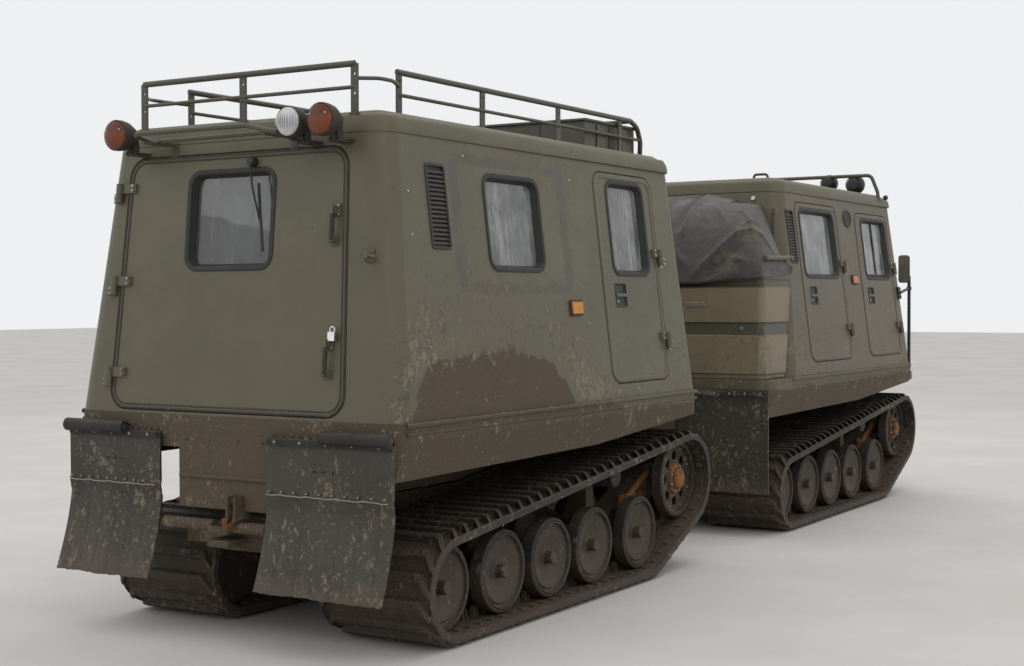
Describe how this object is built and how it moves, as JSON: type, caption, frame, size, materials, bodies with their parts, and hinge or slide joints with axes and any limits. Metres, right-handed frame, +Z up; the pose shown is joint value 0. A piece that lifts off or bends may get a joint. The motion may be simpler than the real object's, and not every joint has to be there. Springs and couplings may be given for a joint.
{
  "type": "articulated tracked all-terrain carrier",
  "caption": "Two box-bodied tracked cars joined by a steering link, with hinged doors, roof rack, mud flaps and a stowage bay behind the front cab.",
  "frame": {"origin": "on the ground below the middle of the whole vehicle, with both cars in line", "axes": "+X forward along the vehicle, +Y to its left, +Z up"},
  "size_m": [7.2141, 1.89, 2.544],
  "materials": {
    "cab_paint": "matt olive paint over moulded panels, worn and muddy",
    "window_glass": "dusty clear glass",
    "louvre_black": "black moulded",
    "chassis_paint": "dark paint under mud",
    "rod_chrome": "bright rod",
    "track_rubber": "moulded rubber with dried mud",
    "wheel_paint": "painted discs under mud",
    "flap_rubber": "worn rubber sheet",
    "rack_paint": "painted tube and sheet",
    "lamp_red": "moulded lamps",
    "mirror_black": "black frames",
    "cover_cloth": "coated dark cloth",
    "seat_cloth": "woven cover",
    "engine_iron": "cast"
  },
  "bodies": {
    "front_car": {"front_tub": "cab_paint", "front_sides": "cab_paint", "front_roof": "cab_paint", "front_back_wall": "cab_paint", "front_nose": "cab_paint", "windscreen": "window_glass", "front_vents": "louvre_black", "front_chassis": "chassis_paint", "lockers": "cab_paint", "stowage_cover": "cover_cloth", "front_flaps": "flap_rubber", "guard_bar": "rack_paint", "mirrors": "mirror_black", "engine": "engine_iron", "engine_cover": "cab_paint", "front_seats": "seat_cloth", "rear_seats": "seat_cloth", "dashboard": "louvre_black", "front_track_right": "track_rubber", "front_track_left": "track_rubber", "front_wheels": "wheel_paint", "front_track_frames": "chassis_paint"},
    "fore_door_right": {"fore_door_right": "cab_paint", "fore_door_glass_right": "window_glass"},
    "fore_door_left": {"fore_door_left": "cab_paint", "fore_door_glass_left": "window_glass"},
    "aft_door_right": {"aft_door_right": "cab_paint", "aft_door_glass_right": "window_glass"},
    "aft_door_left": {"aft_door_left": "cab_paint", "aft_door_glass_left": "window_glass"},
    "steer_link": {"steer_link": "chassis_paint"},
    "pitch_link": {"pitch_link": "chassis_paint"},
    "cylinder_right": {"cylinder_right": "chassis_paint"},
    "cylinder_left": {"cylinder_left": "chassis_paint"},
    "cylinder_rod_right": {"cylinder_rod_right": "rod_chrome"},
    "cylinder_rod_left": {"cylinder_rod_left": "rod_chrome"},
    "rear_car": {"rear_tub": "cab_paint", "rear_sides": "cab_paint", "rear_roof": "cab_paint", "rear_front_wall": "cab_paint", "rear_back_wall": "cab_paint", "rear_vents": "louvre_black", "rear_windows": "window_glass", "rear_chassis": "chassis_paint", "rear_lamps": "lamp_red", "roof_rack": "rack_paint", "roof_tray": "rack_paint", "rear_flaps": "flap_rubber", "tow_coupling": "chassis_paint", "rear_benches": "seat_cloth", "rear_track_right": "track_rubber", "rear_track_left": "track_rubber", "rear_wheels": "wheel_paint", "rear_track_frames": "chassis_paint"},
    "rear_door_right": {"rear_door_right": "cab_paint", "rear_door_glass_right": "window_glass"},
    "rear_door_left": {"rear_door_left": "cab_paint", "rear_door_glass_left": "window_glass"},
    "back_door": {"back_door": "cab_paint", "back_door_glass": "window_glass"}
  },
  "joints": [
    {"name": "steering", "type": "hinge", "parent": "front_car", "child": "steer_link", "pos_m": [0.12, 0, 0.48], "axis": [0, 0, 1], "range_deg": [-34, 34]},
    {"name": "pitch", "type": "hinge", "parent": "steer_link", "child": "pitch_link", "pos_m": [-0.04, 0, 0.48], "axis": [0, -1, 0], "range_deg": [-30, 30]},
    {"name": "roll", "type": "hinge", "parent": "pitch_link", "child": "rear_car", "pos_m": [-0.33, 0, 0.48], "axis": [-1, 0, 0], "range_deg": [-30, 30]},
    {"name": "fore_door_right_hinge", "type": "hinge", "parent": "front_car", "child": "fore_door_right", "pos_m": [3.247, -0.89013, 1.50229], "axis": [0, 0.127, 0.9919], "range_deg": [0, 85]},
    {"name": "fore_door_left_hinge", "type": "hinge", "parent": "front_car", "child": "fore_door_left", "pos_m": [3.247, 0.89013, 1.50229], "axis": [0, 0.127, -0.9919], "range_deg": [0, 85]},
    {"name": "aft_door_right_hinge", "type": "hinge", "parent": "front_car", "child": "aft_door_right", "pos_m": [2.117, -0.89013, 1.50229], "axis": [0, 0.127, 0.9919], "range_deg": [0, 85]},
    {"name": "aft_door_left_hinge", "type": "hinge", "parent": "front_car", "child": "aft_door_left", "pos_m": [2.117, 0.89013, 1.50229], "axis": [0, 0.127, -0.9919], "range_deg": [0, 85]},
    {"name": "rear_door_right_hinge", "type": "hinge", "parent": "rear_car", "child": "rear_door_right", "pos_m": [-0.903, -0.89506, 1.50211], "axis": [0, 0.1172, 0.9931], "range_deg": [0, 85]},
    {"name": "rear_door_left_hinge", "type": "hinge", "parent": "rear_car", "child": "rear_door_left", "pos_m": [-0.903, 0.89506, 1.50211], "axis": [0, 0.1172, -0.9931], "range_deg": [0, 85]},
    {"name": "back_door_hinge", "type": "hinge", "parent": "rear_car", "child": "back_door", "pos_m": [-3.44282, 0.709, 1.5917], "axis": [-0.0946, 0, -0.9955], "range_deg": [0, 110]},
    {"name": "cylinder_right_hinge", "type": "hinge", "parent": "front_car", "child": "cylinder_right", "pos_m": [0.67, -0.215, 0.528], "axis": [0, 0, 1], "range_deg": [-8, 8]},
    {"name": "cylinder_rod_right_slide", "type": "slide", "parent": "cylinder_right", "child": "cylinder_rod_right", "axis": [-0.9974, -0.0721, 0], "range_m": [-0.153, 0.153]},
    {"name": "cylinder_left_hinge", "type": "hinge", "parent": "front_car", "child": "cylinder_left", "pos_m": [0.67, 0.215, 0.528], "axis": [0, 0, 1], "range_deg": [-8, 8]},
    {"name": "cylinder_rod_left_slide", "type": "slide", "parent": "cylinder_left", "child": "cylinder_rod_left", "axis": [-0.9974, 0.0721, 0], "range_m": [-0.153, 0.153]}
  ],
  "couplings": [
    {"joint": "cylinder_right_hinge", "follows": "steering", "ratio": 0.18204},
    {"joint": "cylinder_rod_right_slide", "follows": "steering", "m_per_rad": -0.25411},
    {"joint": "cylinder_left_hinge", "follows": "steering", "ratio": 0.18204},
    {"joint": "cylinder_rod_left_slide", "follows": "steering", "m_per_rad": 0.25411}
  ]
}
